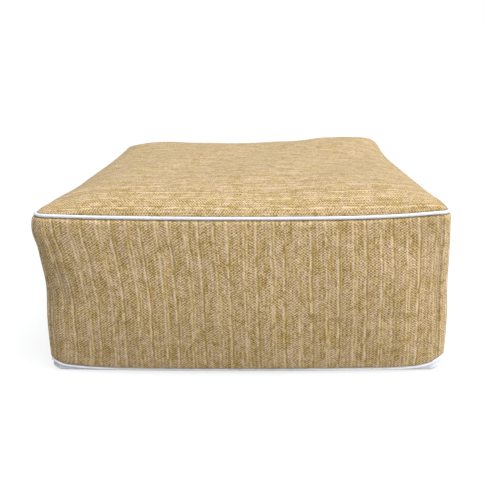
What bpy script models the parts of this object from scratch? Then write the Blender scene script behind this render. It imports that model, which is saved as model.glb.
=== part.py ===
"""Inflatable pouf: a square, boxed floor cushion in woven cloth, with a piped seam above and below.

The pieces, each one named object:
    side_band       the four side panels, joined by upright corner seams, and the filled body inside them
    top_panel       the crowned panel that is sat on
    base_panel      the plain panel that lies on the floor and turns up to the bottom seam
    top_piping      the covered cord sewn into the seam between the top and the sides
    bottom_piping   the same cord in the seam between the sides and the base

Metres, +Z up. The origin is the middle of the face it rests on, and the front looks along -Y.
"""

import math
from collections import namedtuple

import bmesh
import bpy
from mathutils import Vector

# Driving dimensions, in metres
SEAM_WIDTH = 0.562  # over the top piping, from corner to corner of one side
BASE_SEAM_WIDTH = 0.571  # the same over the bottom piping
BASE_TO_RIGHT = 0.0055  # how far the base has slipped to the right under the top
SEAM_HEIGHT = 0.2297  # middle of the top piping, before its sag along a side and lift at a corner
BASE_SEAM_HEIGHT = 0.0064  # middle of the bottom piping, half way along a side
CROWN = 0.030  # rise of the top panel above its seam
PIPING_RADIUS = 0.0023
CLOTH = 0.002  # thickness of the top and base panels
GAP = 0.0009  # left between pieces that touch

# Corners: their radius in plan at the two seams, and where up the side they are pushed in or out
TOP_CORNER_RADIUS = 0.020
BASE_CORNER_RADIUS = 0.019
CORNER_SEAM_DIP = 0.0015  # depth of the valley of an upright corner seam
DENT_HEIGHT = 0.50  # share of the side's height where a corner's dent is deepest
DENT_REACH = 0.18
LOBE_HEIGHT = 0.90  # share of the side's height where a corner's lobe stands out most
LOBE_REACH = 0.09
ROUND_OUT = 0.22  # a rounder corner is moved out by this share of its extra radius

# Where cloth meets the piping, measured from the middle of the cord
EDGE_IN = PIPING_RADIUS + 0.0006
TOP_EDGE_UP = 0.0009
SIDE_EDGE_DOWN = 0.0022
TUCK_IN = 0.0004  # where the side cloth passes the cord
TUCK_DOWN = 0.0046
STAND_OUT = PIPING_RADIUS + 0.0003  # how far the corners of the sides stand out past the seams

# Shape laws: each power is one of the distance from the middle of a side, or of the crown, to its edge
SEAM_BOW_POWER = 2.2
BULGE_POWER = 3.4
TOP_LIFT_POWER = 4.0
BASE_LIFT_POWER = 9.0
CROWN_POWER = 5.6
CROWN_FULLNESS = 0.55
BULGE_FULLNESS = 0.75
BULGE_LOW = 0.85  # below 1, the fullest place of a side is under its middle

# The base panel turns up in a quarter of an ellipse, wider and bellied out where its seam is lifted
BASE_TURN = 0.004
BASE_TURN_SHARE = 0.45
BASE_BELLY_SHARE = 0.68
BASE_BELLY_MOST = 0.0052
BASE_BOW = 0.006  # how far the base seam bows out along every side
BASE_LIFT_SHARE = 0.65  # share of a corner's lift that is reached along the side, before the turn
FLOOR_RING = 0.9  # the last ring on the floor, as a share of the one where the turn ends

Corner = namedtuple("Corner", "name top_lift base_lift dent round lobe spread seam_step")
Side = namedtuple("Side", "name seam_bow seam_sag bulge")
Swell = namedtuple("Swell", "name across back reach rise")

# Going round from the front: side 0, corner 0, side 1, corner 1 and so on
SIDES = (
    Side("front", 0.0035, 0.0020, 0.0140),
    Side("right", 0.0040, 0.0010, 0.0120),
    Side("back", 0.0035, 0.0010, 0.0136),
    Side("left", -0.0050, 0.0050, 0.0220),
)
# The lifts of the two seams, how far the corner is dented in half way up, how much rounder it is there,
# how far it stands out as a lobe under the top seam, how far its top is pulled out, and the step of the
# turn where its upright seam runs
CORNERS = (
    Corner("front right", 0.0055, 0.0130, 0.0012, 0.0, 0.0, 0.0, 1),
    Corner("back right", 0.0105, 0.0100, 0.0020, 0.0, 0.0, 0.0085, 2),
    Corner("back left", 0.0005, 0.0100, 0.0040, 0.0, 0.0, 0.0, 2),
    Corner("front left", 0.0010, 0.0100, 0.0040, 0.0180, 0.0036, 0.0, 2),
)
# Soft swells and hollows of the top panel
SWELLS = (
    Swell("right swell", 0.13, 0.17, 0.10, 0.009),
    Swell("middle hollow", -0.03, 0.16, 0.08, -0.004),
    Swell("back right corner", 0.262, 0.235, 0.050, 0.008),
    Swell("back left corner", -0.262, 0.250, 0.050, -0.001),
    Swell("front left corner", -0.262, -0.262, 0.050, -0.012),
    Swell("left hollow", -0.250, -0.150, 0.080, -0.009),
)

# Fineness of the facets
STEPS_ALONG_SIDE = 12
STEPS_ROUND_CORNER = 4
SIDE_RINGS = (0.04, 0.08, 0.14, 0.24, 0.37, 0.50, 0.63, 0.76, 0.86, 0.92, 0.96)
STEPS_BASE_TURN = 4
CROWN_RINGS = (1.0, 0.982, 0.955, 0.915, 0.85, 0.75, 0.60, 0.35)

# A station is one of the places round the outline that every ring of the shape has
Station = namedtuple("Station", "side corner away turn on_seam")

TAN_CLOTH = ((0.50, 0.38, 0.21, 1.0), 0.9)
WHITE_CLOTH = ((0.85, 0.85, 0.86, 1.0), 0.8)
WHITE_CORD = ((0.90, 0.90, 0.91, 1.0), 0.7)


def make_stations():
    """Go once round: along each side, closer together near its ends, then round the corner after it."""
    stations = []
    for side in range(4):
        for step in range(STEPS_ALONG_SIDE):
            away = math.sin(math.pi / 2 * (2 * step / STEPS_ALONG_SIDE - 1))
            corner = side if away >= 0 else (side - 1) % 4
            stations.append(Station(side, corner, away, None, False))
        for step in range(STEPS_ROUND_CORNER):
            turn = math.pi / 2 * step / STEPS_ROUND_CORNER
            stations.append(Station(side, side, 1.0, turn, step == CORNERS[side].seam_step))
    return stations


STATIONS = make_stations()


def directions(side):
    """The way along a side, left to right as it is faced, and the way out of it."""
    out = Vector((math.sin(side * math.pi / 2), -math.cos(side * math.pi / 2)))
    return Vector((-out.y, out.x)), out


def outline(share, shift, full=0.0, free=0.0, dip=0.0):
    """One closed outline in plan, as a point for each station, moved outwards by the shift.

    The share of the height is 0 at the base seam and 1 at the top one. The outline is a square with
    rounded corners. The middle of each side stands out by its bow and, by how full the cloth is, its
    bulge, and this falls by |away| to a power to the corners. A corner is moved out diagonally by its
    spread, as the cube of the share. Where the cloth is free, a lobe and a dent are added, each a bell.
    """
    half = BASE_HALF + (TOP_HALF - BASE_HALF) * share
    power = SEAM_BOW_POWER + (BULGE_POWER - SEAM_BOW_POWER) * full
    lobe = free * math.exp(-(((share - LOBE_HEIGHT) / LOBE_REACH) ** 2))
    dent = free * math.exp(-(((share - DENT_HEIGHT) / DENT_REACH) ** 2))
    points = []
    for station in STATIONS:
        along, out = directions(station.side)
        corner = CORNERS[station.corner]
        rounder = corner.round * full
        radius = BASE_CORNER_RADIUS + (TOP_CORNER_RADIUS - BASE_CORNER_RADIUS) * share + rounder
        pull = corner.spread * share**3 + corner.lobe * lobe - corner.dent * dent + ROUND_OUT * rounder
        reach = half + pull - radius
        if station.turn is None:
            side = SIDES[station.side]
            stand = BASE_BOW + (side.seam_bow - BASE_BOW) * share + side.bulge * full
            fall = (stand - pull) * abs(station.away) ** power
            point = along * (station.away * reach) + out * (half + shift + stand - fall)
        else:
            grow = radius + shift - (dip if station.on_seam else 0.0)
            point = (along + out) * reach + normal_at(station) * grow
        points.append(point + Vector((BASE_TO_RIGHT * (1 - share), 0.0)))
    return points


def normal_at(station):
    """The way out of the outline at a station, level."""
    along, out = directions(station.side)
    if station.turn is None:
        return out
    return out * math.cos(station.turn) + along * math.sin(station.turn)


def seam_heights():
    """Height of the middle of each cord at every station.

    The top cord sags along each side and is lifted at the corners. The bottom one is level along a
    side, and keeps part of its lift for the turn itself, where it goes as the sine of 2 turns.
    """
    top, base = [], []
    for station in STATIONS:
        corner = CORNERS[station.corner]
        away = abs(station.away)
        lift = BASE_LIFT_SHARE * away**BASE_LIFT_POWER
        lift += (1 - BASE_LIFT_SHARE) * math.sin(2 * (station.turn or 0.0))
        sag = SIDES[station.side].seam_sag * (1 - away**SEAM_BOW_POWER)
        top.append(SEAM_HEIGHT + corner.top_lift * away**TOP_LIFT_POWER - sag)
        base.append(BASE_SEAM_HEIGHT + corner.base_lift * lift)
    return top, base


TOP_SEAM, BASE_SEAM = seam_heights()
TOP_HALF = SEAM_WIDTH / 2 - PIPING_RADIUS
BASE_HALF = BASE_SEAM_WIDTH / 2 - PIPING_RADIUS


def ring(outline_points, heights):
    """Stand an outline at its heights."""
    return [Vector((p.x, p.y, z)) for p, z in zip(outline_points, heights)]


def top_outline(shift):
    return outline(1.0, shift)


def base_outline(shift):
    return outline(0.0, shift)


def side_rings():
    """Rings up the sides, from just above the bottom cord to just below the top one.

    Next to each cord the cloth tucks in round it. Between, at the share t of the height, the sides
    belly out by (4 low (1 - low)) to the power BULGE_FULLNESS, low being t to the power BULGE_LOW.
    """
    rings = [
        ring(base_outline(-EDGE_IN), [z + SIDE_EDGE_DOWN for z in BASE_SEAM]),
        ring(base_outline(-TUCK_IN), [z + TUCK_DOWN for z in BASE_SEAM]),
    ]
    for share in SIDE_RINGS:
        low = share**BULGE_LOW
        full = (4 * low * (1 - low)) ** BULGE_FULLNESS
        heights = [b + (t - b) * share for b, t in zip(BASE_SEAM, TOP_SEAM)]
        rings.append(ring(outline(share, STAND_OUT, full, 1.0, CORNER_SEAM_DIP), heights))
    rings.append(ring(top_outline(-TUCK_IN), [z - TUCK_DOWN for z in TOP_SEAM]))
    rings.append(ring(top_outline(-EDGE_IN), [z - SIDE_EDGE_DOWN for z in TOP_SEAM]))
    return rings


def swell(point):
    """Rise of the soft swells and hollows at a place on the top, each a rounded bell."""
    return sum(
        s.rise * math.exp(-((point.x - s.across) ** 2 + (point.y - s.back) ** 2) / s.reach**2)
        for s in SWELLS
    )


def crown_rings():
    """Rings of the top panel's outer face, from its sewn edge inwards.

    At the share r of the way out, it stands (1 - r^CROWN_POWER)^CROWN_FULLNESS of the crown above the
    seam. The lift of the corners dies away towards the middle.
    """
    edge = top_outline(-EDGE_IN)
    rings = []
    for out in CROWN_RINGS:
        full = (1 - out**CROWN_POWER) ** CROWN_FULLNESS
        heights = []
        for point, seam in zip(edge, TOP_SEAM):
            lift = (seam - SEAM_HEIGHT) * out**4
            heights.append(SEAM_HEIGHT + TOP_EDGE_UP + lift + (CROWN + swell(point * out)) * full)
        rings.append(ring([p * out for p in edge], heights))
    return rings


def crown_middle():
    return Vector((0.0, 0.0, SEAM_HEIGHT + TOP_EDGE_UP + CROWN + swell(Vector((0.0, 0.0)))))


def base_rings():
    """Rings of the base panel's outer face, from the floor out, up and round to its sewn edge."""
    heights = [z - TOP_EDGE_UP for z in BASE_SEAM]
    rings = []
    for step in range(STEPS_BASE_TURN + 1):
        turn = math.pi / 2 * (1 - step / STEPS_BASE_TURN)
        points = []
        for station, edge, height in zip(STATIONS, base_outline(0.0), heights):
            lifted = height - min(heights)
            width = BASE_TURN + BASE_TURN_SHARE * lifted
            belly = min(BASE_BELLY_SHARE * lifted, BASE_BELLY_MOST) * math.sin(2 * turn)
            inward = EDGE_IN + width * (1 - math.cos(turn)) - belly
            points.append(edge - normal_at(station) * inward)
        rings.append(ring(points, [z * (1 - math.sin(turn)) for z in heights]))
    floor = [Vector((p.x * FLOOR_RING, p.y * FLOOR_RING, 0.0)) for p in rings[0]]
    return [floor] + rings


def loft(name, rings, first=None, last=None):
    """An object from rings of points, in order from the floor up; an end closes on a point, or flat.

    Each gap between rings is two triangles with the same diagonal everywhere, so a panel and the body
    under it have matching facets and stay the same distance apart.
    """
    mesh = bmesh.new()
    rows = [[mesh.verts.new(point) for point in points] for points in rings]
    for below, above in zip(rows, rows[1:]):
        for i in range(len(below)):
            mesh.faces.new((below[i - 1], below[i], above[i]))
            mesh.faces.new((below[i - 1], above[i], above[i - 1]))
    if first == "flat":
        mesh.faces.new(rows[0][::-1])
    if last is not None:
        middle = mesh.verts.new(last)
        for i in range(len(rows[-1])):
            mesh.faces.new((rows[-1][i - 1], rows[-1][i], middle))
    data = bpy.data.meshes.new(name)
    mesh.to_mesh(data)
    mesh.free()
    data.shade_smooth()
    return bpy.data.objects.new(name, data)


def panel(name, rings, first=None, last=None):
    """A sheet of cloth, from the rings of its outer face, with its thickness on the inner side."""
    sheet = loft(name, rings, first, last)
    solid = sheet.modifiers.new("cloth thickness", "SOLIDIFY")
    solid.thickness = CLOTH
    solid.offset = -1.0
    return sheet


def under(sheet):
    """The rings of a panel's outer face, set in along its normals to just under its inner face."""
    points = [v.co - v.normal * (CLOTH + GAP) for v in sheet.data.vertices]
    count = len(STATIONS)
    return [points[i : i + count] for i in range(0, len(points) - count + 1, count)], points[-1]


def piping(name, points):
    """A closed cord along a seam."""
    curve = bpy.data.curves.new(name, "CURVE")
    curve.dimensions = "3D"
    curve.bevel_depth = PIPING_RADIUS
    curve.bevel_resolution = 2
    spline = curve.splines.new("POLY")
    spline.points.add(len(points) - 1)
    for place, point in zip(spline.points, points):
        place.co = (*point, 1.0)
    spline.use_cyclic_u = True
    spline.use_smooth = True
    return bpy.data.objects.new(name, curve)


def material(name, look):
    colour, roughness = look
    made = bpy.data.materials.new(name)
    made.use_nodes = True
    shader = made.node_tree.nodes["Principled BSDF"]
    shader.inputs["Base Color"].default_value = colour
    shader.inputs["Roughness"].default_value = roughness
    shader.inputs["Metallic"].default_value = 0.0
    made.diffuse_color = colour
    return made


def make_side_band(top_panel, base_panel):
    """The filled body: base, sides and crown in one closed skin, set in under the two panels."""
    under_base, _ = under(base_panel)
    under_top, middle = under(top_panel)
    return loft("side_band", under_base + side_rings() + under_top, "flat", middle)


def build():
    for thing in list(bpy.data.objects):
        bpy.data.objects.remove(thing)
    parts = bpy.data.collections.new("pouf")
    bpy.context.scene.collection.children.link(parts)
    top_panel = panel("top_panel", crown_rings(), last=crown_middle())
    base_panel = panel("base_panel", base_rings(), first="flat")
    looks = (
        (make_side_band(top_panel, base_panel), "tan woven cloth, sides", TAN_CLOTH),
        (top_panel, "tan woven cloth, top", TAN_CLOTH),
        (base_panel, "white base cloth", WHITE_CLOTH),
        (piping("top_piping", ring(top_outline(0.0), TOP_SEAM)), "white top cord", WHITE_CORD),
        (piping("bottom_piping", ring(base_outline(0.0), BASE_SEAM)), "white bottom cord", WHITE_CORD),
    )
    for thing, name, look in looks:
        thing.data.materials.append(material(name, look))
        parts.objects.link(thing)


build()
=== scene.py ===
"""The looks of an inflatable pouf: herringbone cloth, white piping, and a plain white base.

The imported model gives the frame. Each of its nodes is cloth, so each is replaced by a finer piece on
the same outlines: the filled sides, the two panels as sheets, and the two covered cords. Metres, +Z up,
the front along -Y, the origin in the middle of the face it rests on.
"""

import math
from collections import namedtuple

import bpy
import numpy as np
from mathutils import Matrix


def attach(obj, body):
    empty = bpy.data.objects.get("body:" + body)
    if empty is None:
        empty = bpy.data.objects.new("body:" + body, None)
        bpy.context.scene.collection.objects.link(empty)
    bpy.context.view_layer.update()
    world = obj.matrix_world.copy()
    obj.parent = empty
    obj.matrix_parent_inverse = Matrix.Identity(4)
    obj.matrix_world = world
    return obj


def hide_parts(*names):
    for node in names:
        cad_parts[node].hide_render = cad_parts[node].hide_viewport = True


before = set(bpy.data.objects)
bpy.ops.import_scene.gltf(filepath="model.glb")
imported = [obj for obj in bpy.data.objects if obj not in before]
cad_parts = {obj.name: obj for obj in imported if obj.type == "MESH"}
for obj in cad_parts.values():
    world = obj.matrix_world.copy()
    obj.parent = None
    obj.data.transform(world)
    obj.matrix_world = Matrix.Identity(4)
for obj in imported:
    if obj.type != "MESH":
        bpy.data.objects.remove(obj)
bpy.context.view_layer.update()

# ---- Sizes, in metres: the outlines are those of the model in the frame ----

SEAM_WIDTH = 0.562  # over the top piping, from corner to corner of one side
BASE_SEAM_WIDTH = 0.571  # the same over the bottom piping
BASE_TO_RIGHT = 0.0055  # how far the base has slipped to the right under the top
SEAM_HEIGHT = 0.2297  # middle of the top piping, before its sag along a side and lift at a corner
BASE_SEAM_HEIGHT = 0.0064  # middle of the bottom piping, half way along a side
CROWN = 0.030  # rise of the top panel above its seam
PIPING_RADIUS = 0.0023
CLOTH = 0.002  # thickness of the top and base panels
GAP = 0.0006  # left between pieces that touch

TOP_CORNER_RADIUS = 0.020
BASE_CORNER_RADIUS = 0.019
CROWN_ROUNDING = 0.55  # how much rounder the crown's outlines get from the seam to the middle
DENT_HEIGHT = 0.50  # share of the side's height where a corner's dent is deepest
DENT_REACH = 0.18
LOBE_HEIGHT = 0.90  # the same for the fold of cloth that stands out under the top seam
LOBE_REACH = 0.09
ROUND_OUT = 0.22  # a rounder corner is pulled out by this share, so that it doesn't look cut off

# Where cloth meets the piping, measured from the middle of the cord
EDGE_IN = PIPING_RADIUS + 0.0006
TOP_EDGE_UP = 0.0009
SIDE_EDGE_DOWN = 0.0018
BASE_HUG = 0.0014  # over this distance the side cloth comes out round the cord
TOP_HUG = 0.0022
HUG_POWER = 1.5
STAND_OUT = PIPING_RADIUS + 0.0003  # how far the corners of the sides stand out past the seams

# How square or round each curve is: a higher power keeps the change closer to the ends
SEAM_BOW_POWER = 2.2
BULGE_POWER = 3.4
TOP_LIFT_POWER = 4.0
LIFT_FADE_POWER = 4  # the same lift over the crown, from the seam to the middle
CROWN_POWER = 5.6
CROWN_FULLNESS = 0.55
BULGE_FULLNESS = 0.75
BULGE_LOW = 0.85  # below 1, the fullest place of a side is under its middle
SPREAD_POWER = 3  # how close to the top seam a pulled out corner stays, down the side
SPREAD_FADE_POWER = 2  # and over the crown

BASE_TURN = 0.004  # how far the base's wall turns under
BASE_TURN_SHARE = 0.45  # how much further for each metre that the seam is lifted
BASE_BELLY_SHARE = 0.68  # how far the wall bellies out for each metre of lift, and at most
BASE_BELLY_MOST = 0.0052
BASE_BELLY_POWER = 1.15
BASE_BOW = 0.006  # how far the middle of each side of the bottom seam stands out
BASE_LIFT_SHARE = 0.5  # of a lower corner's lift, this much is along the sides and the rest in the turn

Corner = namedtuple("Corner", "name top_lift base_lift base_power dent round lobe spread seam_turn")
Side = namedtuple("Side", "name seam_bow seam_sag bulge fold")
Swell = namedtuple("Swell", "name across back reach rise")

# Going round from the front: side 0, corner 0, side 1, corner 1 and so on
SIDES = (
    # how far the middle of the top seam stands out and sags, how far the side bellies out, and how
    # strong its long fold is
    Side("front", 0.0035, 0.0020, 0.0085, 1.0),
    Side("right", 0.0040, 0.0010, 0.0090, 0.5),
    Side("back", 0.0035, 0.0010, 0.0100, 0.6),
    Side("left", -0.0050, 0.0050, 0.0190, 0.5),
)
CORNERS = (
    # the two lifts, how close to the corner the lower one stays, how far the middle of the height is
    # dented in, how much rounder it is there, how far the cloth stands out under the top seam, how
    # far the top corner itself is pulled out, and where round the corner its seam runs, in radians
    Corner("front right", 0.0050, 0.0145, 18.0, 0.0012, 0.0, 0.0, 0.0, 0.20),
    Corner("back right", 0.0105, 0.0100, 9.0, 0.0020, 0.0, 0.0, 0.0085, 0.785),
    Corner("back left", 0.0005, 0.0100, 9.0, 0.0040, 0.0, 0.0, 0.0, 0.785),
    Corner("front left", 0.0010, 0.0100, 9.0, 0.0040, 0.0180, 0.0036, 0.0, 0.785),
)
SWELLS = (
    # on the top: where its middle is, how far it reaches and how high it rises
    Swell("right swell", 0.13, 0.17, 0.10, 0.009),
    Swell("middle hollow", -0.03, 0.16, 0.08, -0.004),
    Swell("back right corner", 0.262, 0.235, 0.050, 0.008),
    Swell("back left corner", -0.262, 0.250, 0.050, -0.001),
    Swell("front left corner", -0.262, -0.262, 0.050, -0.012),
    Swell("left hollow", -0.250, -0.150, 0.080, -0.009),
)

# Fineness of the grids
STEPS_ALONG_SIDE = 140
STEPS_ROUND_CORNER = 24
STEPS_A_SIDE = STEPS_ALONG_SIDE + STEPS_ROUND_CORNER
STEPS_UP_SIDE = 80
STEPS_OVER_CROWN = 56
STEPS_BASE_WALL = 12
STEPS_ROUND_CORD = 18
SIDE_CLOSENESS = 1.6  # above 1, rings are closer together near the seams
CROWN_CLOSENESS = 1.7

# How many times a ring is averaged, which softens the join of side and turn
HEIGHT_SMOOTHING = 8
SEAM_SMOOTHING = 6
SIDE_SMOOTHING = 10

# ---- The outline that every ring shares ----


class Round:
    """Places once round the pouf, as arrays: along each side, then round the corner after it.

    away goes from -1 to 1 along a side, and turn from 0 to a quarter turn round a corner.
    """

    share_along = np.arange(STEPS_ALONG_SIDE) / STEPS_ALONG_SIDE
    share_turned = np.arange(STEPS_ROUND_CORNER) / STEPS_ROUND_CORNER
    side = np.repeat(np.arange(4), STEPS_A_SIDE)
    away = np.tile(np.concatenate([2 * share_along - 1, np.ones(STEPS_ROUND_CORNER)]), 4)
    turn = np.tile(np.concatenate([np.zeros(STEPS_ALONG_SIDE), np.pi / 2 * share_turned]), 4)
    turning = np.tile(np.arange(STEPS_A_SIDE) >= STEPS_ALONG_SIDE, 4)
    corner = np.where(away >= 0, side, (side - 1) % 4)
    out = np.stack([np.sin(side * np.pi / 2), -np.cos(side * np.pi / 2)], 1)
    along = np.stack([-out[:, 1], out[:, 0]], 1)
    normal = out * np.cos(turn)[:, None] + along * np.sin(turn)[:, None]


def of_sides(field):
    """What the table of sides gives, at every place round."""
    return np.array([getattr(s, field) for s in SIDES])[Round.side]


def of_corners(field):
    """What the table of corners gives at every place round, by the nearer corner."""
    return np.array([getattr(c, field) for c in CORNERS])[Round.corner]


def smooth_round(points, times):
    """Average each point of a ring with its two neighbours, a number of times."""
    for _ in range(times):
        points = 0.5 * points + 0.25 * (np.roll(points, 1, -2) + np.roll(points, -1, -2))
    return points


def outline(half, radius, power, stand, shift=0.0, pull=0.0):
    """Outlines in plan, one for each ring: a square of that half width with rounded corners.

    The middle of each side stands out, and falls by |away| to the power given to the corners, which
    are pulled out diagonally. The shift moves the whole outline outwards.
    """
    half, power, shift = (np.atleast_1d(x).astype(float).reshape(-1, 1) for x in (half, power, shift))
    reach = half + pull - radius
    outwards = half + shift + stand - (stand - pull) * np.abs(Round.away) ** power
    straight = (Round.away * reach)[..., None] * Round.along + outwards[..., None] * Round.out
    turned = reach[..., None] * (Round.along + Round.out) + (radius + shift)[..., None] * Round.normal
    return np.where(Round.turning[:, None], turned, straight)


def seam_heights():
    """Heights of the middles of the two cords.

    The top one sags along a side by 1 - |away|^SEAM_BOW_POWER and is lifted towards the corners by
    |away|^TOP_LIFT_POWER. The bottom one is lifted by |away| to its corner's own power, and keeps part
    of that lift for the turn, where it goes as the sine of 2 turns.
    """
    away = np.abs(Round.away)
    top = SEAM_HEIGHT + of_corners("top_lift") * away**TOP_LIFT_POWER
    top -= of_sides("seam_sag") * (1 - away**SEAM_BOW_POWER)
    lift = BASE_LIFT_SHARE * away ** of_corners("base_power")
    lift += (1 - BASE_LIFT_SHARE) * np.sin(2 * Round.turn)
    base = BASE_SEAM_HEIGHT + of_corners("base_lift") * lift
    return [smooth_round(heights[:, None], HEIGHT_SMOOTHING)[:, 0] for heights in (top, base)]


TOP_SEAM, BASE_SEAM = seam_heights()
TOP_HALF = SEAM_WIDTH / 2 - PIPING_RADIUS
BASE_HALF = BASE_SEAM_WIDTH / 2 - PIPING_RADIUS
SLIP = np.array([BASE_TO_RIGHT, 0.0])


def stand_up(points, heights):
    """Rings in space from outlines in plan and heights."""
    return np.concatenate([points, np.broadcast_to(heights, points.shape[:-1])[..., None]], -1)


def top_outline(shift):
    """Plan of the top seam, moved out by the shift."""
    bow, pull = of_sides("seam_bow"), of_corners("spread")
    seam = outline(TOP_HALF, TOP_CORNER_RADIUS, SEAM_BOW_POWER, bow, shift, pull)
    return smooth_round(seam, SEAM_SMOOTHING)


def base_outline(shift):
    """Plan of the bottom seam, moved out by the shift."""
    seam = outline(BASE_HALF, BASE_CORNER_RADIUS, SEAM_BOW_POWER, BASE_BOW, shift)
    return smooth_round(seam, SEAM_SMOOTHING) + SLIP


def normals_of(grid):
    """Unit normals of a grid of rings by places, from the cross product of its two directions."""
    round_it = np.roll(grid, -1, 1) - np.roll(grid, 1, 1)
    across = np.gradient(grid, axis=0)
    normal = np.cross(round_it, across)
    return normal / np.maximum(np.linalg.norm(normal, axis=-1, keepdims=True), 1e-12)


def lengths(grid, axis):
    """Running length along one axis of a grid, from 0."""
    steps = np.linalg.norm(np.diff(grid, axis=axis), axis=-1)
    return np.concatenate([np.zeros_like(np.take(steps, [0], axis)), np.cumsum(steps, axis)], axis)


def waves(u, v, table):
    """A sum of sine waves over a surface: height * sin(turns), the turns being u / long_u + v / long_v
    and the start."""
    return sum(
        height * np.sin(2 * np.pi * (u / long_u + v / long_v + start))
        for long_u, long_v, start, height in table
    )


# ---- Side cloth ----

SIDE_WAVES = (
    # long_u, long_v, start, height
    (0.310, 0.900, 0.10, 0.0011),
    (0.170, -0.420, 0.55, 0.0008),
    (0.093, 0.260, 0.30, 0.0004),
    (-0.061, 0.150, 0.80, 0.00022),
)
PUCKER_WAVES = (
    (0.0230, 0.060, 0.0, 0.00030),
    (0.0157, -0.050, 0.4, 0.00022),
    (0.0410, 0.080, 0.7, 0.00028),
)
PUCKER_REACH = 0.012  # metres from a seam over which its puckers die away
PUCKER_AT_BASE = 0.6  # how strong they are at the bottom seam, against the top one
PUCKER_ON_TOP = 0.5  # below 1, the top panel's puckers start close to its seam
WAVES_APART = 0.77  # metres from one side's waves to the next one's, so that no two sides are alike
CALM_REACH = 0.03  # beside a corner seam the cloth is tight, without waves
FOLD_SLOPE = 0.060  # each way from a side's fold, where its cloth turns from upright to tucked under
FOLD_HEIGHT = 0.40  # share of the side's height
FOLD_CLIMB = 0.17  # how much higher the fold lies for each metre to the right
FOLD_WANDER = 0.02  # how far it goes up and down, and over what length
FOLD_WANDER_LENGTH = 0.19
FOLD_SOFTNESS = 0.05
# Shallow dimples, from the middle of the front and down from its top seam; a negative depth is a swell
Dimple = namedtuple("Dimple", "across down wide tall depth")
FRONT_DIMPLES = (
    Dimple(0.127, 0.150, 0.020, 0.014, 0.0014),
    Dimple(0.201, 0.143, 0.016, 0.012, 0.0012),
    Dimple(0.095, 0.052, 0.022, 0.014, 0.0010),
    Dimple(-0.166, 0.058, 0.020, 0.016, 0.0010),
    Dimple(-0.030, 0.120, 0.030, 0.018, 0.0008),
    Dimple(-0.245, 0.030, 0.060, 0.022, 0.0030),
    Dimple(0.215, 0.085, 0.070, 0.045, -0.0048),
)
SKEW = 0.08  # metres that the cloth is pulled sideways for each metre down
SKEW_FROM = 0.09  # metres under the top seam
SKEW_SOFTNESS = 0.02
SKEW_AT = -0.28  # metres from the middle of the front
SKEW_REACH = 0.16
CORNER_SEAM_DIP = 0.0016
CORNER_SEAM_WIDTH = 0.0022
CORNER_SEAM_SHOULDER = 0.0007
SHOULDER_AT = 2.2 * CORNER_SEAM_WIDTH
CORNER_SEAM_FADE = 0.3  # below 1, a corner seam keeps its depth until close to its two ends


def side_grid():
    """The outside of the sides, as rings from the bottom cord up to the top one, with its u and v.

    At the share t of the height the sides belly out by (4p(1-p))^BULGE_FULLNESS, p being t^BULGE_LOW.
    Near a cord the cloth comes out round it as 1 - exp(-(h / hug)^HUG_POWER), h being the distance from
    its sewn edge.
    """
    tall = SEAM_HEIGHT - BASE_SEAM_HEIGHT
    s = np.linspace(-1, 1, STEPS_UP_SIDE + 1)[:, None]
    t = 0.5 + 0.5 * np.sign(s) * (1 - (1 - np.abs(s)) ** SIDE_CLOSENESS)
    t = SIDE_EDGE_DOWN / tall + t * (1 - 2 * SIDE_EDGE_DOWN / tall)
    full = (4 * t**BULGE_LOW * (1 - t**BULGE_LOW)) ** BULGE_FULLNESS
    ends = ((t, BASE_HUG), (1 - t, TOP_HUG))
    from_edges = ((np.maximum(h * tall - SIDE_EDGE_DOWN, 0), hug) for h, hug in ends)
    hidden = sum(np.exp(-((h / hug) ** HUG_POWER)) for h, hug in from_edges)
    grid = side_rings(t, full, hidden)
    u, v = side_uv(grid)
    rise = side_relief(t, full, u, v, tall) * (1 - np.clip(hidden, 0, 1))
    return grid + normals_of(grid) * rise[..., None], u, v


def side_rings(t, full, hidden):
    """The sides without their relief: between the two seams' outlines, bellied out and drawn in.

    A corner's dent and the fold that stands out at it are exp(-((t - height) / reach)^2) up the side.
    """
    stand = BASE_BOW + (of_sides("seam_bow") - BASE_BOW) * t + of_sides("bulge") * full
    dent = np.exp(-(((t - DENT_HEIGHT) / DENT_REACH) ** 2))
    lobe = np.exp(-(((t - LOBE_HEIGHT) / LOBE_REACH) ** 2))
    rounder = of_corners("round") * full
    pull = of_corners("spread") * t**SPREAD_POWER
    pull += of_corners("lobe") * lobe - of_corners("dent") * dent
    points = outline(
        BASE_HALF + (TOP_HALF - BASE_HALF) * t,
        BASE_CORNER_RADIUS + (TOP_CORNER_RADIUS - BASE_CORNER_RADIUS) * t + rounder,
        SEAM_BOW_POWER + (BULGE_POWER - SEAM_BOW_POWER) * full,
        stand,
        STAND_OUT - (STAND_OUT + EDGE_IN) * hidden,
        pull + ROUND_OUT * rounder,
    )
    points = smooth_round(points, SIDE_SMOOTHING) + SLIP * (1 - t)[..., None]
    return stand_up(points, BASE_SEAM + (TOP_SEAM - BASE_SEAM) * t)


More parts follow.
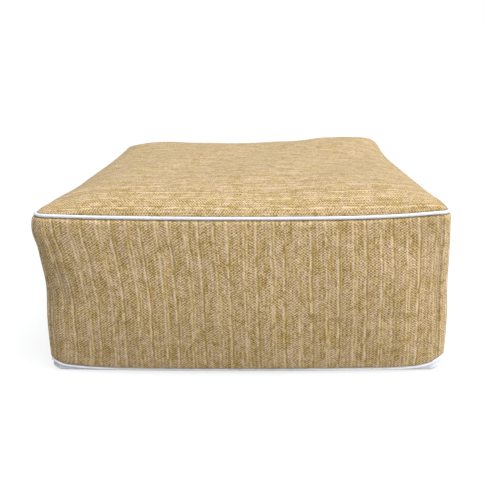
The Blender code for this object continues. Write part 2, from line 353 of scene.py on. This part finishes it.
def side_relief(t, full, u, v, tall):
    """How far the sides rise above their rings: waves, puckers at the seams, a fold and dimples.

    The corner seams are valleys exp(-(d / width)^2) with raised shoulders, and the cloth beside them is
    calm. Puckers die away from a seam as exp(-h / PUCKER_REACH).
    """
    h_top, h_base = (1 - t) * tall, t * tall
    near = np.exp(-h_top / PUCKER_REACH) + PUCKER_AT_BASE * np.exp(-h_base / PUCKER_REACH)
    from_seam = distance_from_seam(u)
    valley = -CORNER_SEAM_DIP * np.exp(-((from_seam / CORNER_SEAM_WIDTH) ** 2))
    shoulder = CORNER_SEAM_SHOULDER * np.exp(-(((from_seam - SHOULDER_AT) / CORNER_SEAM_WIDTH) ** 2))
    calm = 1 - np.exp(-((from_seam / CALM_REACH) ** 2))
    spread = u + WAVES_APART * Round.side
    rise = waves(spread, v, SIDE_WAVES) * full * calm + waves(spread, v, PUCKER_WAVES) * near * calm
    rise += fold_across(u, t, tall) * calm * of_sides("fold")
    for d in FRONT_DIMPLES:
        dimple = np.exp(-(((u - d.across) / d.wide) ** 2) - ((v - d.down) / d.tall) ** 2)
        rise -= np.where(panel_of_place() == 0, d.depth, 0.0) * dimple * calm
    return rise + (valley + shoulder) * full**CORNER_SEAM_FADE


def distance_from_seam(u):
    """How far each place is from the nearer end of its side panel."""
    panel = panel_of_place()
    ends = [(u[:, panel == k].min(1), u[:, panel == k].max(1)) for k in range(4)]
    low, high = (np.stack([end[k] for end in ends], 1)[:, panel] for k in (0, 1))
    return np.minimum(u - low, high - u)


def fold_across(u, t, tall):
    """A soft fold along a side: a hyperbola -sqrt((t - fold)^2 + softness^2) times the slope, less the
    straight line between its ends, so that it is nought at both seams."""
    fold = FOLD_HEIGHT + FOLD_CLIMB * u + FOLD_WANDER * np.sin(2 * np.pi * u / FOLD_WANDER_LENGTH)
    tent, at_base, at_top = (-np.hypot(x - fold, FOLD_SOFTNESS) for x in (t, 0.0, 1.0))
    return FOLD_SLOPE * tall * (tent - at_base - (at_top - at_base) * t)


def side_uv(grid):
    """Cloth coordinates on each side panel: u along it from its middle, v down from the top seam.

    Low on the left of the front the cloth is pulled askew, by SKEW for each metre down. The skew
    starts softly, as a hyperbola, and dies away to both sides as exp(-(d / reach)^2).
    """
    middle = grid[len(grid) // 2]
    run = np.concatenate([[0], np.cumsum(np.linalg.norm(np.diff(middle, axis=0), axis=1))])
    centre = run[np.arange(4) * STEPS_A_SIDE + STEPS_ALONG_SIDE // 2]
    whole = run[-1] + np.linalg.norm(middle[0] - middle[-1])
    panel = panel_of_place()
    u = (run - centre[panel] + whole / 2) % whole - whole / 2
    v = lengths(grid[::-1], 0)[::-1]
    low = v - SKEW_FROM
    skew = SKEW * (low + np.hypot(low, SKEW_SOFTNESS)) / 2
    skew = skew * np.exp(-(((u - SKEW_AT) / SKEW_REACH) ** 2))
    return u - np.where(panel == 0, skew, 0.0), v


def panel_of_place():
    """Which side panel a place belongs to: past a corner's seam it is the next one's."""
    past = Round.turning & (Round.turn > of_corners("seam_turn") + 1e-6)
    return (Round.side + past) % 4


# ---- Top cloth ----

TOP_WAVES = (
    # long_u, long_v, start, height
    (0.330, 0.520, 0.20, 0.0020),
    (-0.210, 0.350, 0.65, 0.0014),
    (0.120, -0.170, 0.15, 0.0006),
    (0.072, 0.110, 0.40, 0.00025),
)


def swell(points):
    """How far the swells raise the top: each by its rise times exp(-(d / reach)^2)."""
    x, y = points[..., 0], points[..., 1]
    return sum(s.rise * np.exp(-((x - s.across) ** 2 + (y - s.back) ** 2) / s.reach**2) for s in SWELLS)


def crown_grid():
    """The outside of the top panel, as rings from its sewn edge in, with cloth coordinates and middle.

    The rings go from the seam's rounded square to rounder ones. At the share r of the way out the cloth
    stands (1 - r^CROWN_POWER)^CROWN_FULLNESS of the crown above the seam, and the lift of the seam's
    corners dies away towards the middle as r^LIFT_FADE_POWER. The cloth coordinates are the plan,
    stretched by how much longer the way over the crown is.
    """
    r = np.linspace(1, 0, STEPS_OVER_CROWN + 1)[:-1, None]
    r = 1 - (1 - r) ** CROWN_CLOSENESS
    half = (TOP_HALF - EDGE_IN) * r
    radius = (TOP_CORNER_RADIUS - EDGE_IN) * r + CROWN_ROUNDING * half * (1 - r)
    bow, pull = of_sides("seam_bow") * r, of_corners("spread") * r**SPREAD_FADE_POWER
    points = smooth_round(outline(half, radius, SEAM_BOW_POWER, bow, pull=pull), SEAM_SMOOTHING)
    full = (1 - r**CROWN_POWER) ** CROWN_FULLNESS
    rise = CROWN + swell(points) + waves(points[..., 0], points[..., 1], TOP_WAVES) * full
    heights = SEAM_HEIGHT + TOP_EDGE_UP + (TOP_SEAM - SEAM_HEIGHT) * r**LIFT_FADE_POWER + rise * full
    run_in = np.linalg.norm(points, axis=-1)
    grid = stand_up(points, heights)
    over = lengths(grid[::-1], 0)[::-1] + run_in[-1:]
    stretch = (over / run_in)[:, STEPS_ALONG_SIDE // 2 :: STEPS_A_SIDE].mean(1)
    flat = points * stretch[:, None, None]
    near = np.exp(-((over.max(0) - over) / PUCKER_REACH))
    round_the_edge = lengths(np.concatenate([grid[:1], grid[:1, :1]], 1), 1)[:, :-1]
    pucker = waves(round_the_edge, over, PUCKER_WAVES) * near * full**PUCKER_ON_TOP
    middle = np.array([0.0, 0.0, SEAM_HEIGHT + TOP_EDGE_UP + CROWN])
    middle[2] += swell(np.zeros((1, 2)))[0] + waves(0, 0, TOP_WAVES)
    return grid + normals_of(grid) * pucker[..., None], flat, middle


# ---- Base cloth ----

CREASE_DEPTH = 0.0011  # of the creases that run along the base's wall at its lifted corners
CREASE_FROM = 0.008  # lift of the seam at which they are fully there
CREASE_TURNS = 9  # how close together they are
FLOOR_RINGS = (0.35, 0.7, 0.92)  # how far out the rings on the floor are, as shares


def base_grid():
    """The outside of the base panel, as rings out over the floor and up the wall to its sewn edge.

    The wall is a quarter of an ellipse. Where the seam is lifted it turns under further in, bellies out
    as the sine of 2 turns, and has creases as the square of the sine of CREASE_TURNS turns.
    """
    heights = BASE_SEAM - TOP_EDGE_UP
    turn = np.pi / 2 * (1 - np.linspace(0, 1, STEPS_BASE_WALL + 1))[:, None]
    lifted = heights - heights.min()
    width = BASE_TURN + BASE_TURN_SHARE * lifted
    belly = np.minimum(BASE_BELLY_SHARE * lifted, BASE_BELLY_MOST)
    belly = belly * np.sin(2 * turn) ** BASE_BELLY_POWER
    crease = CREASE_DEPTH * np.clip(lifted / CREASE_FROM, 0, 1)
    crease = crease * np.sin(2 * turn) * np.sin(CREASE_TURNS * turn) ** 2
    inward = EDGE_IN + width * (1 - np.cos(turn)) - belly + crease
    points = base_outline(0.0) - inward[..., None] * Round.normal
    wall = stand_up(points, heights * (1 - np.sin(turn)))
    floor = stand_up(points[:1] * np.array(FLOOR_RINGS)[:, None, None], 0.0)
    return np.concatenate([floor, wall])


# ---- From grids to pieces ----


def mesh_from_rings(name, grid, uv, first=None, last=None):
    """A mesh from a grid of rings, closed round, in order from the floor up or from the outside in.

    Either end may close on a point. Faces are quads between rings. uv gives the cloth coordinates at
    the start and at the end of every step round, as two grids, since they jump at a corner seam.
    """
    rings, count = grid.shape[:2]
    i = np.arange(count)
    j = (i + 1) % count
    row = np.arange(rings - 1)[:, None] * count
    quads = np.stack([row + i, row + j, row + count + j, row + count + i], -1).reshape(-1, 4)
    points = grid.reshape(-1, 3)
    faces = quads.tolist()
    start, end = uv
    corners = [np.stack([start[:-1], end[:-1], end[1:], start[1:]], 2).reshape(-1, 2)]
    for point, ring, forward in ((first, 0, False), (last, rings - 1, True)):
        if point is not None:
            points = np.concatenate([points, np.asarray(point)[None]])
            pole = np.full(count, len(points) - 1)
            at_pole = np.broadcast_to(start[ring].mean(0), start[ring].shape)
            fan = [ring * count + i, ring * count + j, pole]
            fan_uv = [start[ring], end[ring], at_pole]
            turns = (0, 1, 2) if forward else (1, 0, 2)
            faces += np.stack([fan[k] for k in turns], -1).tolist()
            corners.append(np.stack([fan_uv[k] for k in turns], 1).reshape(-1, 2))
    mesh = bpy.data.meshes.new(name)
    mesh.from_pydata(points.tolist(), [], faces)
    layer = mesh.uv_layers.new(name="cloth")
    layer.data.foreach_set("uv", np.concatenate(corners).astype(np.float32).ravel())
    mesh.shade_smooth()
    piece = bpy.data.objects.new(name, mesh)
    bpy.context.scene.collection.objects.link(piece)
    return piece


def thicken(sheet):
    """Give a sheet its thickness on the inner side."""
    solid = sheet.modifiers.new("cloth thickness", "SOLIDIFY")
    solid.thickness = CLOTH
    solid.offset = -1.0
    return sheet


def steps_round(values):
    """The cloth coordinates at the start and at the end of each step round."""
    return values, np.roll(values, -1, 1)


def make_side_cloth(crown, base):
    """The filled body with its side panels: one closed skin, set in under the two other panels.

    Only the sides show, so the rest has no cloth coordinates, and half the crown's rings are enough.
    """
    sides, u, v = side_grid()
    under_base = base - normals_of(base) * (CLOTH + GAP)
    under_top = (crown - normals_of(crown) * (CLOTH + GAP))[::2]
    grid = np.concatenate([under_base, sides, under_top])
    floor_middle = [0.0, 0.0, CLOTH + GAP]
    top_middle = under_top[-1].mean(0)
    start, end = steps_round(np.stack([u, v], -1))
    # where a step ends in the next panel, it keeps to its own
    width = np.abs(u).max()
    end = end.copy()
    end[..., 0] = np.where(end[..., 0] < start[..., 0], width, end[..., 0])
    pad = [np.zeros_like(g)[..., :2] for g in (under_base, under_top)]
    uv = [np.concatenate([pad[0], part, pad[1]]) for part in (start, end)]
    return mesh_from_rings("side_cloth", grid, uv, floor_middle, top_middle)


def make_top_cloth(crown, flat, middle):
    """The top panel. Its columns run from left to right, so u goes from front to back."""
    return thicken(mesh_from_rings("top_cloth", crown, steps_round(flat[..., ::-1]), last=middle))


def make_base_cloth(base):
    """The base panel, closed at the middle of the floor, with its plan as cloth coordinates."""
    middle = [BASE_TO_RIGHT, 0.0, 0.0]
    return thicken(mesh_from_rings("base_cloth", base, steps_round(base[..., :2]), first=middle))


CORD_WAVES = (
    # long_u, long_v, start, height, from side to side; the same all over v
    (0.190, math.inf, 0.1, 0.000125),
    (0.083, math.inf, 0.6, 0.000075),
    (0.031, math.inf, 0.3, 0.00003),
)
COVER_WAVE = 0.00005  # how much thinner the cord gets where its cover is drawn tight
COVER_WAVE_LENGTH = 0.0135
MERGE_WITHIN = 0.00001  # points this close are one


def make_cord(name, line):
    """A covered cord along a closed line: a tube, slightly uneven, with u round it and v along it.

    Its radius goes down and up as the sine of the way along it, and its line strays by CORD_WAVES.
    """
    tangent = np.roll(line, -1, 0) - np.roll(line, 1, 0)
    tangent /= np.linalg.norm(tangent, axis=1, keepdims=True)
    side = np.cross(tangent, [0.0, 0.0, 1.0])
    side /= np.linalg.norm(side, axis=1, keepdims=True)
    up = np.cross(side, tangent)
    run = lengths(np.concatenate([line, line[:1]])[None], 1)[0]
    line = line + side * waves(run[:-1], 0, CORD_WAVES)[:, None]
    angle = 2 * np.pi * np.arange(STEPS_ROUND_CORD) / STEPS_ROUND_CORD
    reach = PIPING_RADIUS - COVER_WAVE * (1 + np.sin(2 * np.pi * run[:-1] / COVER_WAVE_LENGTH))
    round_it = np.cos(angle)[:, None, None] * side + np.sin(angle)[:, None, None] * up
    grid = (line + reach[:, None] * round_it).swapaxes(0, 1)
    grid = np.concatenate([grid, grid[:1]])
    around = np.arange(STEPS_ROUND_CORD + 1) * 2 * np.pi * PIPING_RADIUS / STEPS_ROUND_CORD
    start = np.stack(np.broadcast_arrays(around[None, :-1], run[:, None]), -1)
    end = np.stack(np.broadcast_arrays(around[None, 1:], run[:, None]), -1)
    piece = mesh_from_rings(name, grid, (start, end))
    weld = piece.modifiers.new("close the cord", "WELD")
    weld.merge_threshold = MERGE_WITHIN
    return piece


# ---- Materials ----


def colour(text):
    """An sRGB hex colour as linear red, green, blue and alpha."""
    values = [int(text[k : k + 2], 16) / 255 for k in (1, 3, 5)]
    return [x / 12.92 if x <= 0.04045 else ((x + 0.055) / 1.055) ** 2.4 for x in values] + [1.0]


def node(tree, kind, *values, sockets=None, output=0, stops=(), **settings):
    """Add a node: its settings, its inputs in order, then those named, each a value or a link.

    The kind may end in a dot and an operation. The stops are the places and colours of a ramp.
    """
    kind, _, operation = kind.partition(".")
    made = tree.nodes.new("ShaderNode" + kind)
    if operation:
        made.operation = operation
    for key, value in settings.items():
        setattr(made, key, value)
    for key, value in [*enumerate(values), *(sockets or {}).items()]:
        if isinstance(value, bpy.types.NodeSocket):
            tree.links.new(value, made.inputs[key])
        else:
            made.inputs[key].default_value = value
    for k, (place, tint) in enumerate(stops):
        stop = made.color_ramp.elements[k] if k < 2 else made.color_ramp.elements.new(place)
        stop.position = place
        stop.color = colour(tint)
    return made.outputs[output]


def new_material(name):
    """A material, its node tree and its shader."""
    made = bpy.data.materials.new(name)
    made.use_nodes = True
    return made, made.node_tree, made.node_tree.nodes["Principled BSDF"]


# One V of the weave, across and up its column. A real one is a few threads, about 3 x 2 mm, which is
# too fine to show, so it is drawn nearly twice as coarse. The columns have their real widths.
STITCH_WIDE = 0.0052
STITCH_TALL = 0.0037
NARROW_COLUMN = 3 * STITCH_WIDE
WIDE_COLUMN = 4 * STITCH_WIDE
COLUMN_STRAYS = (
    # how a column strays sideways: the size of the noise across and up, and how far it goes
    (0.040, 0.055, 0.0050),
    (0.007, 0.012, 0.0026),
)
STITCH_UNEVEN = 1.6  # how far the Vs are out of step with each other, in Vs, and over what distance
STITCH_UNEVEN_SIZE = 0.0050
LEAN = (0.41, 0.18)  # how strong the twill leaning right is, and how much stronger in a wide column
STITCH_STRIPE = 0.22  # a stripe along each file of Vs, against the twill
WEAVE_SHOWN = 0.60
MOTTLE = (
    # unevenness of the yarn: its size across and up, and how strongly it shows
    (0.0034, 0.0160, 0.8),
    (0.0085, 0.0060, 0.9),
    (0.0032, 0.0034, 0.8),
)
DYE_SIZE = (0.0075, 0.026)  # one dyed length of yarn, across and up
PATCH_SIZE = (0.020, 0.045)
PATCH_SHOWN = 0.32  # how far a whole patch is dyed alike
NEXT_COLUMN = 3.7  # from one column's place in the noise to the next one's
NEXT_JOIN = 5.3
DYE_SHOWN = 0.30  # how far the dye makes a place lighter or darker
LIGHT_DYES = (
    (0.30, "#B59A5C"), (0.42, "#C2A774"), (0.52, "#C9AF84"), (0.62, "#CAAC8C"), (0.74, "#D1BC98"),
)
DEEP_DYES = ((0.30, "#705628"), (0.44, "#7A6034"), (0.56, "#7E6642"), (0.72, "#8A7242"))
JOIN_BEND = 0.050  # metres along a join over which its yarns stray from side to side
JOIN_BEND_AT = 7.0  # the slice of the noise that gives it, apart from the one for the dyes
JOIN_FADE = 0.06  # in the dye's noise, how soft the ends of a length of yarn are
WEAVE_RELIEF = 0.7  # against the join yarns' own relief

JoinYarn = namedtuple("JoinYarn", "name offset stray half seed length least narrow wide relief dyes")
JOIN_YARNS = (
    # how far its middle lies from the join, how far it strays, half its width, where its noise starts,
    # how long one dyed length is, from which dye on it shows, how strongly it shows in a narrow and in
    # a wide column, how far it stands out, and its dyes
    JoinYarn("ochre yarn", 0.0052, 0.012, 0.0042, 23.7, 0.016, 0.57, 0.50, 0.55, 0.0,
             ((0.55, "#AD8A44"), (0.70, "#A9823C"))),
    JoinYarn("olive yarn", 0.0038, 0.005, 0.0020, 83.9, 0.014, 0.43, 0.28, 0.70, -0.4,
             ((0.42, "#7F672B"), (0.55, "#7A6434"), (0.68, "#9A7F3C"))),
    JoinYarn("pale yarn", 0.0008, 0.003, 0.0025, 11.3, 0.017, 0.45, 0.56, 0.62, 0.6,
             ((0.40, "#A58D48"), (0.48, "#C8AF84"), (0.58, "#D6BF9C"), (0.70, "#D5BCA2"))),
    JoinYarn("second pale yarn", 0.0050, 0.008, 0.0019, 47.1, 0.014, 0.48, 0.56, 0.20, 0.35,
             ((0.45, "#BFA56C"), (0.60, "#D1BB96"))),
)


def grain(tree, u, v, across, up, column=0.0, step=0.0, detail=2.0, roughness=0.5):
    """Noise over the cloth, of a size each way. A step starts it from another place in every column."""
    x = node(tree, "Math.MULTIPLY_ADD", column, step, node(tree, "Math.DIVIDE", u, across))
    place = node(tree, "CombineXYZ", x, node(tree, "Math.DIVIDE", v, up), 0.0)
    look = {"Scale": 1.0, "Detail": detail, "Roughness": roughness}
    return node(tree, "TexNoise", place, sockets=look)


InColumn = namedtuple("InColumn", "u v column wide inside")


def in_columns(tree):
    """Where a place lies in the columns, which are narrow and wide in turn and stray sideways.

    It gives the cloth coordinates, the column's number, 1 in a wide column or 0 in a narrow one, and
    how far across it the place is. The pair's number is the whole part of u over the pair's width.
    """
    place = node(tree, "UVMap", uv_map="cloth")
    u = node(tree, "SeparateXYZ", place, output=0)
    v = node(tree, "SeparateXYZ", place, output=1)
    noises = [grain(tree, u, v, across, up) for across, up, _ in COLUMN_STRAYS]
    for noise, (_, _, far) in zip(noises, COLUMN_STRAYS):
        u = node(tree, "Math.MULTIPLY_ADD", node(tree, "Math.SUBTRACT", noise, 0.5), far, u)
    pair = node(tree, "Math.DIVIDE", u, NARROW_COLUMN + WIDE_COLUMN)
    across = node(tree, "Math.MULTIPLY", node(tree, "Math.FRACT", pair), NARROW_COLUMN + WIDE_COLUMN)
    wide = node(tree, "Math.GREATER_THAN", across, NARROW_COLUMN)
    column = node(tree, "Math.MULTIPLY_ADD", node(tree, "Math.FLOOR", pair), 2.0, wide)
    inside = node(tree, "Math.MULTIPLY_ADD", wide, -NARROW_COLUMN, across)
    return InColumn(u, v, column, wide, inside)


def twill(tree, at):
    """The weave: staggered floats in stacked Vs, with a stripe along each file of them.

    Each way of leaning is the sine of the turns up the column plus or minus those across it. One is
    stronger in wide columns and the other in narrow ones.
    """
    rise = node(tree, "Math.DIVIDE", at.v, STITCH_TALL)
    uneven = grain(tree, at.u, at.v, STITCH_UNEVEN_SIZE, STITCH_UNEVEN_SIZE)
    rise = node(tree, "Math.MULTIPLY_ADD", uneven, STITCH_UNEVEN, rise)
    run = node(tree, "Math.DIVIDE", at.inside, STITCH_WIDE)
    strength = node(tree, "Math.MULTIPLY_ADD", at.wide, LEAN[1], LEAN[0])
    weave = 0.0
    for way, share in ((1.0, strength), (-1.0, node(tree, "Math.SUBTRACT", 1.0, strength))):
        phase = node(tree, "Math.MULTIPLY_ADD", run, way, rise)
        line = node(tree, "Math.SINE", node(tree, "Math.MULTIPLY", phase, 2 * math.pi))
        weave = node(tree, "Math.MULTIPLY_ADD", line, share, weave)
    stripe = node(tree, "Math.COSINE", node(tree, "Math.MULTIPLY", run, 2 * math.pi))
    return node(tree, "Math.MULTIPLY_ADD", stripe, STITCH_STRIPE, weave)


def lay_join_yarns(tree, at, cloth):
    """The cloth's colour with the thick yarns along the joins laid over it, and how far they stand out.

    Noise along each join says where a yarn strays to, how it is dyed, and where it comes to the face.
    """
    relief = 0.0
    for yarn in JOIN_YARNS:
        where_u = node(tree, "Math.MULTIPLY_ADD", at.column, NEXT_JOIN, yarn.seed)
        bend = node(tree, "Math.DIVIDE", at.v, JOIN_BEND)
        where = node(tree, "CombineXYZ", where_u, bend, JOIN_BEND_AT)
        drift = node(tree, "TexNoise", where, sockets={"Scale": 1.0, "Detail": 1.0})
        middle = node(tree, "Math.MULTIPLY_ADD", drift, yarn.stray, yarn.offset - yarn.stray / 2)
        away = node(tree, "Math.ABSOLUTE", node(tree, "Math.SUBTRACT", at.inside, middle))
        within = node(tree, "MapRange", away, yarn.half, yarn.half / 4, 0.0, 1.0)
        where = node(tree, "CombineXYZ", where_u, node(tree, "Math.DIVIDE", at.v, yarn.length), 0.0)
        dyed = node(tree, "TexNoise", where, sockets={"Scale": 1.0, "Detail": 3.0, "Roughness": 0.65})
        ends = (yarn.least - JOIN_FADE, yarn.least + JOIN_FADE)
        broken = node(tree, "MapRange", dyed, *ends, 0.0, 1.0)
        tint = node(tree, "ValToRGB", dyed, stops=yarn.dyes)
        strength = node(tree, "Math.MULTIPLY_ADD", at.wide, yarn.wide - yarn.narrow, yarn.narrow)
        amount = node(tree, "Math.MULTIPLY", within, node(tree, "Math.MULTIPLY", broken, strength))
        cloth = node(tree, "Mix", sockets={0: amount, 6: cloth, 7: tint}, output=2, data_type="RGBA")
        relief = node(tree, "Math.MULTIPLY_ADD", amount, yarn.relief, relief)
    return cloth, relief


def herringbone():
    """Woven polyester, space-dyed yarn: a matt melange of tan, sand and olive in columns of twill.

    The columns are narrow and wide in turn and their twill leans opposite ways, so the floats show as
    staggered flecks. Thick pale yarns run along the joins, each a different shade every few
    centimetres, with thin dark ones beside them.
    """
    made, tree, shader = new_material("herringbone polyester")
    at = in_columns(tree)
    shown = node(tree, "Math.MULTIPLY_ADD", twill(tree, at), WEAVE_SHOWN, 0.5)
    for across, up, share in MOTTLE:
        uneven = node(tree, "Math.SUBTRACT", grain(tree, at.u, at.v, across, up), 0.5)
        shown = node(tree, "Math.MULTIPLY_ADD", uneven, share, shown)

    # dyed lengths of yarn, different in every column
    dyed = grain(tree, at.u, at.v, *DYE_SIZE, at.column, NEXT_COLUMN, detail=3.0, roughness=0.62)
    patch = node(tree, "Math.SUBTRACT", grain(tree, at.u, at.v, *PATCH_SIZE), 0.5)
    dye = node(tree, "Math.MULTIPLY_ADD", patch, PATCH_SHOWN, dyed)
    darker = node(tree, "Math.SUBTRACT", dye, 0.5)
    shown = node(tree, "Math.MULTIPLY_ADD", darker, DYE_SHOWN, shown, use_clamp=True)
    deep, light = (node(tree, "ValToRGB", dye, stops=dyes) for dyes in (DEEP_DYES, LIGHT_DYES))
    cloth = node(tree, "Mix", sockets={0: shown, 6: deep, 7: light}, output=2, data_type="RGBA")
    cloth, relief = lay_join_yarns(tree, at, cloth)

    height = node(tree, "Math.MULTIPLY_ADD", shown, WEAVE_RELIEF, relief)
    bump = node(tree, "Bump", sockets={"Height": height, "Strength": 0.7, "Distance": 0.0006})
    tree.links.new(cloth, shader.inputs["Base Color"])
    tree.links.new(bump, shader.inputs["Normal"])
    shader.inputs["Roughness"].default_value = 0.92
    shader.inputs["Specular IOR Level"].default_value = 0.25
    shader.inputs["Sheen Weight"].default_value = 0.12
    shader.inputs["Sheen Roughness"].default_value = 0.5
    return made


# Two threads of the white cloth, one over and one under. Real ones are about 0.4 mm together, which is
# too fine to show, so they are drawn four times as coarse on the base and three times on the piping.
BASE_THREADS = 0.0016
COVER_THREADS = 0.0012
WHITE_PATCHES = 35.0  # to a metre
WHITE_PATCH_SHARE = 0.6  # of the unevenness, and the rest is the weave's


def white_cloth(name, threads, tint, shade):
    """Plain-woven white polyester: matt, with a fine thread and a faint unevenness.

    The weave is the product of two sines, one across the warp and one across the weft.
    """
    made, tree, shader = new_material(name)
    place = node(tree, "UVMap", uv_map="cloth")
    sines = []
    for way in range(2):
        across = node(tree, "SeparateXYZ", place, output=way)
        phase = node(tree, "Math.MULTIPLY", across, 2 * math.pi / threads)
        sines.append(node(tree, "Math.SINE", phase))
    weave = node(tree, "Math.MULTIPLY_ADD", node(tree, "Math.MULTIPLY", *sines), 0.5, 0.5)
    patch = node(tree, "TexNoise", place, sockets={"Scale": WHITE_PATCHES, "Detail": 3.0})
    tone = node(tree, "Math.MULTIPLY", weave, 1 - WHITE_PATCH_SHARE)
    tone = node(tree, "Math.MULTIPLY_ADD", patch, WHITE_PATCH_SHARE, tone)
    tone = node(tree, "ValToRGB", tone, stops=((0.2, shade), (0.8, tint)))
    bump = node(tree, "Bump", sockets={"Height": weave, "Strength": 0.4, "Distance": 0.0002})
    tree.links.new(tone, shader.inputs["Base Color"])
    tree.links.new(bump, shader.inputs["Normal"])
    shader.inputs["Roughness"].default_value = 0.8
    shader.inputs["Specular IOR Level"].default_value = 0.2
    return made


# ---- Studio ----

FLOOR_REACH = 30.0
FLOOR_GREY = "#BCBCBC"
WHITE = "#FFFFFF"
GLARE = 1.15  # how bright the over-exposure of the floor is, and its share in what the camera sees
GLARE_SHARE = 0.70


def make_floor():
    """A plain pale floor, far wider than the view, and over-exposed, so that its shadows are faint."""
    mesh = bpy.data.meshes.new("floor")
    ends = (-FLOOR_REACH, FLOOR_REACH)
    mesh.from_pydata([(x, y, 0.0) for x in ends for y in ends], [], [(0, 2, 3, 1)])
    floor = bpy.data.objects.new("floor", mesh)
    bpy.context.scene.collection.objects.link(floor)
    made, tree, shader = new_material("pale studio floor")
    shader.inputs["Base Color"].default_value = colour(FLOOR_GREY)
    shader.inputs["Roughness"].default_value = 0.9
    seen = node(tree, "LightPath", output=0)
    glare = node(tree, "Emission", colour(WHITE), GLARE)
    share = node(tree, "Math.MULTIPLY", seen, GLARE_SHARE)
    shown = node(tree, "MixShader", share, shader.outputs[0], glare)
    tree.links.new(shown, tree.nodes["Material Output"].inputs["Surface"])
    mesh.materials.append(made)


Lamp = namedtuple("Lamp", "name kind place size power tint")
LAMPS = (
    # the size is the angle that a sun takes up in the sky, and an area's width
    Lamp("overhead light", "SUN", (0.45, -0.31, 2.0), math.radians(50), 4.33, (0.955, 1.0, 1.06)),
    Lamp("right softbox", "AREA", (1.7, -1.3, 0.9), 1.0, 21.0, (1.0, 1.0, 1.0)),
)
LIT_MIDDLE = (0.0, 0.0, 0.12)  # what the lamps point at
ROOM_LIGHT = 0.30


def make_lights():
    """A soft light nearly overhead, a softbox on the right, and an even white room."""
    for lamp in LAMPS:
        data = bpy.data.lights.new(lamp.name, lamp.kind)
        data.energy = lamp.power
        data.color = lamp.tint
        if lamp.kind == "SUN":
            data.angle = lamp.size
        else:
            data.shape = "DISK"
            data.size = lamp.size
        light = bpy.data.objects.new(lamp.name, data)
        x, y, z = np.array(LIT_MIDDLE) - lamp.place
        light.location = lamp.place
        light.rotation_euler = (math.atan2(math.hypot(x, y), -z), 0.0, math.atan2(-x, y))
        bpy.context.scene.collection.objects.link(light)
    world = bpy.data.worlds.new("studio")
    world.use_nodes = True
    tree = world.node_tree
    # the room is plain white to the eye and a dimmer fill as a light
    seen = node(tree, "LightPath", output=0)
    strength = node(tree, "MapRange", seen, 0.0, 1.0, ROOM_LIGHT, 1.0)
    tree.links.new(strength, tree.nodes["Background"].inputs["Strength"])
    tree.nodes["Background"].inputs["Color"].default_value = colour(WHITE)
    bpy.context.scene.world = world


LENS = 41.4  # millimetres
LENS_SHIFT = -0.0412
CAMERA_PLACE = (0.0275, -0.988, 0.4275)
CAMERA_DOWN = 18.26  # degrees below level
FAR_END = 100.0  # metres, past the floor's edge


def make_camera():
    """A camera in front, a little right of the middle, looking down at the pouf."""
    data = bpy.data.cameras.new("camera")
    data.lens = LENS
    data.shift_x = LENS_SHIFT
    data.clip_end = FAR_END
    camera = bpy.data.objects.new("camera", data)
    camera.location = CAMERA_PLACE
    camera.rotation_euler = (math.radians(90 - CAMERA_DOWN), 0.0, 0.0)
    bpy.context.scene.collection.objects.link(camera)
    bpy.context.scene.camera = camera


# ---- The pouf ----


def build():
    """Make the five pieces, each with its finish and in place of its node of the frame."""
    crown, flat, middle = crown_grid()
    base = base_grid()
    side_cloth = make_side_cloth(crown, base)
    top_cloth = make_top_cloth(crown, flat, middle)
    base_cloth = make_base_cloth(base)
    top_cord = make_cord("top_cord", stand_up(top_outline(0.0), TOP_SEAM)[0])
    bottom_cord = make_cord("bottom_cord", stand_up(base_outline(0.0), BASE_SEAM)[0])
    tan = herringbone()
    white = white_cloth("plain-woven base polyester", BASE_THREADS, "#E2E2E6", "#D2D3D9")
    # the two cords share one white piping cloth: the top copy is painted darker, as painted shade that
    # holds back its highlight, and the bottom copy is painted lighter, as painted light for what it
    # lacks from below
    top_piping_painted_shade = white_cloth("bias-cut piping cloth with painted shade, for the top", COVER_THREADS, "#DADADE", "#CCCDD2")
    bottom_piping_painted_light = white_cloth("bias-cut piping cloth with painted light, for the bottom", COVER_THREADS, "#ECECF0", "#DDDEE3")
    for piece, finish, slot, replaced in (
        (side_cloth, tan, "herringbone_cloth", "side_band"),
        (top_cloth, tan, "herringbone_cloth", "top_panel"),
        (base_cloth, white, "base_cloth", "base_panel"),
        (top_cord, top_piping_painted_shade, "piping_cloth", "top_piping"),
        (bottom_cord, bottom_piping_painted_light, "piping_cloth", "bottom_piping"),
    ):
        piece.data.materials.append(finish)
        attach(piece, "root")
        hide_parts(replaced)


bpy.context.scene.view_settings.view_transform = "Standard"
bpy.context.scene.cycles.denoising_prefilter = "NONE"  # keeps the weave sharp
make_camera()
make_lights()
make_floor()
build()
